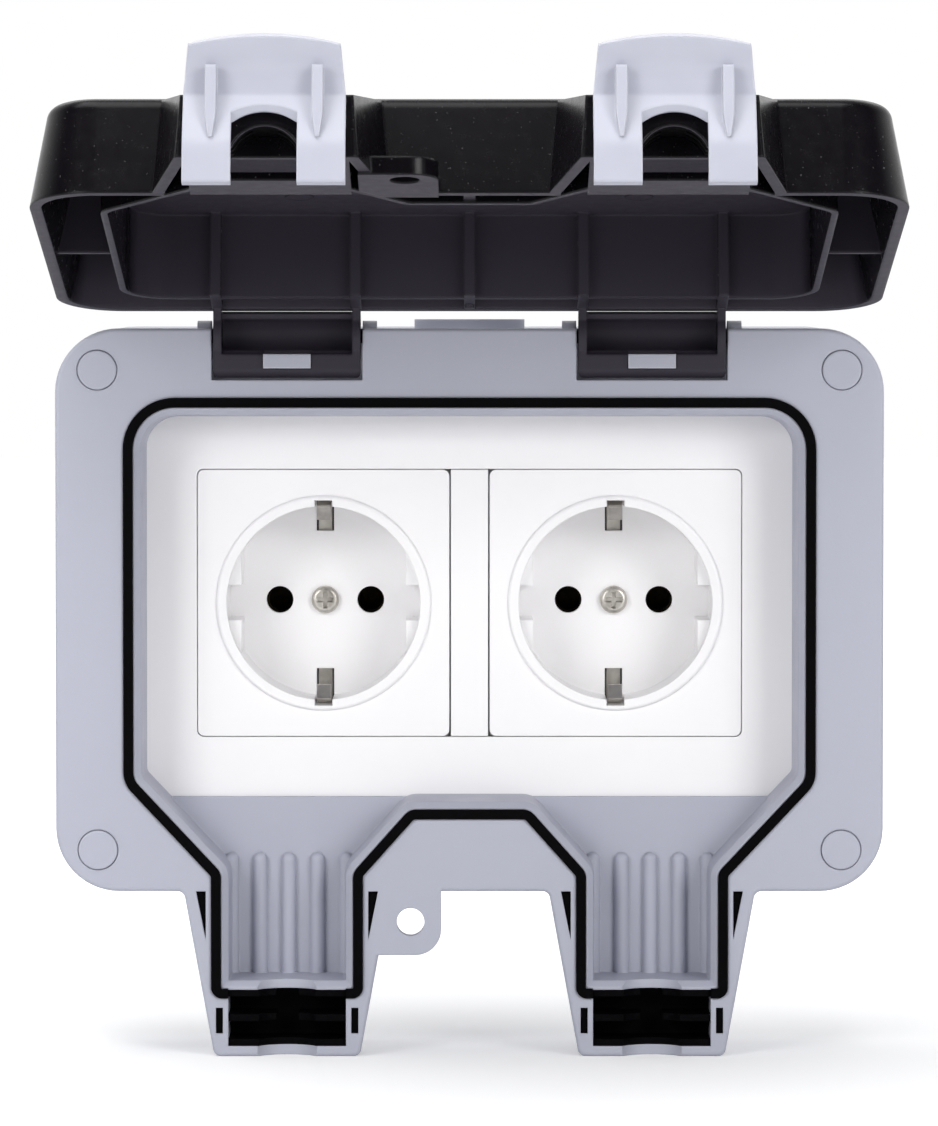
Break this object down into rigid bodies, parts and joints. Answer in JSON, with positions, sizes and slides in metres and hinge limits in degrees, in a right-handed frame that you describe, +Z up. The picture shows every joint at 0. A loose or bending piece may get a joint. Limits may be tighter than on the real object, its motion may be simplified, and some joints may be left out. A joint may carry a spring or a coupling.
{
  "type": "outdoor weatherproof socket",
  "caption": "Grey surface enclosure with a black hinged cover held open over two white round earthed sockets, with snap latches and cable outlets at the bottom.",
  "frame": {"origin": "centre of the rear face that seats on the wall", "axes": "+X to the right seen from the front, +Y into the wall, +Z up towards the conduit entry"},
  "size_m": [0.1698, 0.1964, 0.2024],
  "materials": {
    "grey_housing": "fine matt moulded surface",
    "light_clip": "smooth satin moulding",
    "black_cover": "satin, shiny on its edges",
    "white_plastic": "smooth and glossy",
    "inner_moulding": "matt moulding",
    "black_rubber": "matt rubber",
    "nickel": "bright plated",
    "brass": "plain",
    "steel": "plated"
  },
  "bodies": {
    "base": {"front_frame": "grey_housing", "back_box": "grey_housing", "conduit_spout": "grey_housing", "corner_caps": "grey_housing", "box_gasket": "black_rubber", "lid_seal": "black_rubber", "frame_screws": "steel", "socket_plate": "white_plastic", "spacer_strip": "white_plastic", "insert_left": "white_plastic", "insert_right": "white_plastic", "earth_strap_left": "nickel", "earth_strap_right": "nickel", "mechanism_left": "inner_moulding", "mechanism_right": "inner_moulding", "contact_sleeves_left": "brass", "contact_sleeves_right": "brass", "terminal_blocks_left": "brass", "terminal_blocks_right": "brass", "terminal_screws_left": "steel", "terminal_screws_right": "steel", "centre_screw_left": "nickel", "centre_screw_right": "nickel", "outlet_comb_left": "black_rubber", "outlet_comb_right": "black_rubber"},
    "lid": {"lid_shell": "black_cover", "lid_comb_left": "black_rubber", "lid_comb_right": "black_rubber", "detent_block_left": "light_clip", "detent_block_right": "light_clip"},
    "latch_left_body": {"latch_left": "light_clip", "latch_pin_left": "steel"},
    "latch_right_body": {"latch_right": "light_clip", "latch_pin_right": "steel"}
  },
  "joints": [
    {"name": "lid_hinge", "type": "hinge", "parent": "base", "child": "lid", "pos_m": [0, -0.0481, 0.05595], "axis": [1, 0, 0], "range_deg": [0, 102]},
    {"name": "latch_left_hinge", "type": "hinge", "parent": "lid", "child": "latch_left_body", "pos_m": [-0.0373, -0.1831, 0.09681], "axis": [1, 0, 0], "range_deg": [-25, 5]},
    {"name": "latch_right_hinge", "type": "hinge", "parent": "lid", "child": "latch_right_body", "pos_m": [0.0373, -0.1831, 0.09681], "axis": [1, 0, 0], "range_deg": [-25, 5]}
  ]
}
